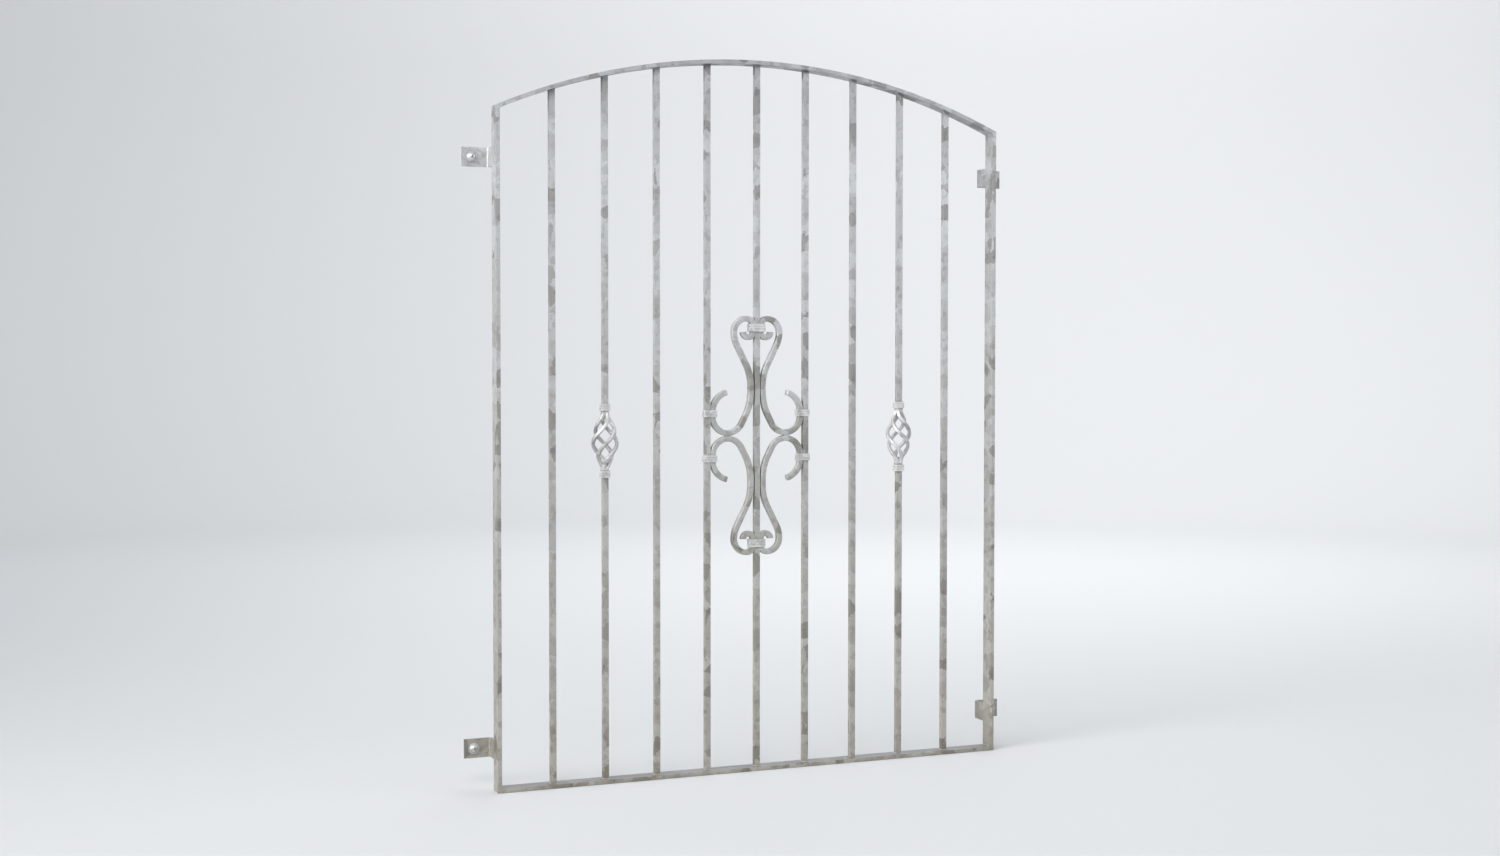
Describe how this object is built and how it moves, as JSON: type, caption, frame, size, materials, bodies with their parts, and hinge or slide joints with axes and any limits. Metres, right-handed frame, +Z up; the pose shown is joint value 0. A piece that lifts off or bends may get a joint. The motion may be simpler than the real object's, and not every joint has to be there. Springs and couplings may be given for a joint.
{
  "type": "window grille",
  "caption": "Arched window grille welded from galvanised steel flat and square bar, with upright bars, a central group of scrolls, two twisted baskets and bent wall lugs.",
  "frame": {"origin": "centre of the four wall screws, on the wall's surface", "axes": "+X to the right seen from outside, +Y into the wall, +Z up"},
  "size_m": [1.268, 0.1405, 1.5309],
  "materials": {
    "bar_zinc": "hot-dip galvanised, mottled matt spangle",
    "basket_zinc": "galvanised, smoother and brighter than the bars",
    "collar_zinc": "pale, even zinc",
    "screw_zinc": "zinc-plated, satin to bright"
  },
  "bodies": {
    "root": {"stile_left": "bar_zinc", "stile_right": "bar_zinc", "bottom_rail": "bar_zinc", "arch_head": "bar_zinc", "bar_1": "bar_zinc", "bar_2_lower": "bar_zinc", "bar_2_upper": "bar_zinc", "bar_3": "bar_zinc", "bar_4": "bar_zinc", "bar_5": "bar_zinc", "bar_6": "bar_zinc", "bar_7": "bar_zinc", "bar_8_lower": "bar_zinc", "bar_8_upper": "bar_zinc", "bar_9": "bar_zinc", "basket_left": "basket_zinc", "basket_right": "basket_zinc", "scroll_upper_left": "bar_zinc", "scroll_upper_right": "bar_zinc", "scroll_lower_left": "bar_zinc", "scroll_lower_right": "bar_zinc", "heart_collar_upper": "collar_zinc", "heart_collar_lower": "collar_zinc", "side_collar_upper_left": "collar_zinc", "side_collar_upper_right": "collar_zinc", "side_collar_lower_left": "collar_zinc", "side_collar_lower_right": "collar_zinc", "basket_collar_left_top": "collar_zinc", "basket_collar_left_bottom": "collar_zinc", "basket_collar_right_top": "collar_zinc", "basket_collar_right_bottom": "collar_zinc", "lug_upper_left": "bar_zinc", "lug_upper_right": "bar_zinc", "lug_lower_left": "bar_zinc", "lug_lower_right": "bar_zinc", "washer_upper_left": "screw_zinc", "washer_upper_right": "screw_zinc", "washer_lower_left": "screw_zinc", "washer_lower_right": "screw_zinc", "screw_upper_left": "screw_zinc", "screw_upper_right": "screw_zinc", "screw_lower_left": "screw_zinc", "screw_lower_right": "screw_zinc"}
  },
  "joints": []
}
